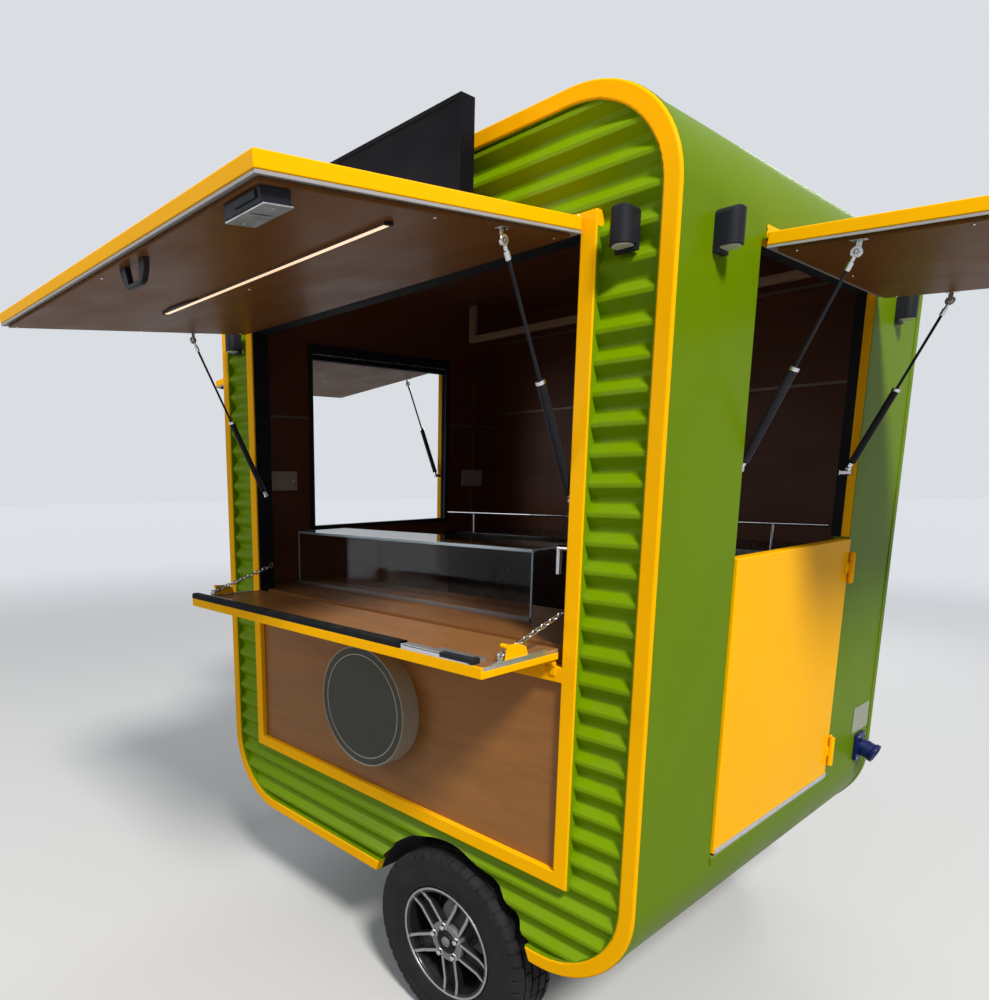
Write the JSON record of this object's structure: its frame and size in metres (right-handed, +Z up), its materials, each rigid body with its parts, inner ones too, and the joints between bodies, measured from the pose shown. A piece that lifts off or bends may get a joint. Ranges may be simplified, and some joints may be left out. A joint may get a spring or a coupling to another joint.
{
  "type": "street kiosk",
  "caption": "Rounded two-wheeled street food kiosk with a lift-up serving hatch, fold-down counter flap, half-door with hatch and a hatched end window.",
  "frame": {"origin": "on the ground under the middle of the whole part's box, open hatches included; the middle of the body lies 0.450 m further along +Y", "axes": "+Z up, the serving face looks along -Y, the half-door is on the +X end"},
  "size_m": [3.2992, 2.5662, 2.589],
  "materials": {
    "lime_shell": "gloss",
    "lime_cladding": "gloss",
    "yellow_paint": "gloss",
    "brown_laminate": "satin",
    "brown_panel": "satin",
    "black_metal": "satin",
    "black_plastic": "matte",
    "black_rubber": "matte",
    "tyre_rubber": "matte",
    "rim_alloy": "polished",
    "aluminium": "satin",
    "stainless": "brushed",
    "zinc_steel": "galvanised",
    "sign_grey": "matte",
    "sign_black": "satin",
    "clear_glass": "clear",
    "lamp_lens": "frosted",
    "socket_plastic": "gloss",
    "inlet_blue": "gloss",
    "rack_taupe": "satin",
    "floor_grey": "matte"
  },
  "bodies": {
    "kiosk": {"chassis_frame": "zinc_steel", "axle": "zinc_steel", "drawbar": "zinc_steel", "tow_coupling": "zinc_steel", "wheel_arches": "black_plastic", "floor_board": "floor_grey", "underbody_shell": "lime_shell", "roof_shell": "lime_shell", "right_wall": "lime_shell", "left_wall": "lime_shell", "front_wall_sides": "brown_laminate", "front_wall_top": "brown_laminate", "front_wall_bottom": "brown_laminate", "rear_wall": "brown_laminate", "front_cladding": "lime_cladding", "rear_cladding": "lime_cladding", "edge_trims": "yellow_paint", "serving_frame": "yellow_paint", "lower_panel": "brown_panel", "round_sign": "sign_grey", "round_sign_face": "sign_black", "sign_board": "sign_black", "serving_hatch": "yellow_paint", "side_hatch": "yellow_paint", "window_hatch": "yellow_paint", "hatch_linings": "brown_laminate", "gas_struts": "black_metal", "opening_seals": "black_rubber", "door_hinges": "yellow_paint", "door_sill": "aluminium", "flap_hinges": "yellow_paint", "flap_chains": "zinc_steel", "front_counter": "brown_laminate", "glass_case": "clear_glass", "counter_tap": "stainless", "rear_counter": "black_metal", "counter_rail": "stainless", "ceiling_rack": "rack_taupe", "socket_plates": "socket_plastic", "wall_lamps": "black_metal", "lamp_lenses": "lamp_lens", "power_inlet": "inlet_blue", "interior_lining": "brown_laminate"},
    "front_wheel": {"front_tyre": "tyre_rubber", "front_rim": "rim_alloy"},
    "rear_wheel": {"rear_tyre": "tyre_rubber", "rear_rim": "rim_alloy"},
    "half_door": {"half_door": "yellow_paint"},
    "counter_flap": {"counter_flap": "brown_laminate", "flap_seal": "black_rubber", "flap_latches": "stainless"}
  },
  "joints": [
    {"name": "half_door_hinge", "type": "hinge", "parent": "kiosk", "child": "half_door", "pos_m": [0.915, 0.8171, 1.1], "axis": [0, 0, 1], "range_deg": [0, 100]},
    {"name": "counter_flap_hinge", "type": "hinge", "parent": "kiosk", "child": "counter_flap", "pos_m": [0, -0.4189, 1.254], "axis": [-1, 0, 0], "range_deg": [0, 90], "deforming": ["flap_chains"]},
    {"name": "front_wheel_spin", "type": "hinge", "parent": "kiosk", "child": "front_wheel", "pos_m": [0.3, -0.3254, 0.285], "axis": [0, -1, 0], "continuous": true},
    {"name": "rear_wheel_spin", "type": "hinge", "parent": "kiosk", "child": "rear_wheel", "pos_m": [0.3, 1.1956, 0.285], "axis": [0, -1, 0], "continuous": true}
  ]
}
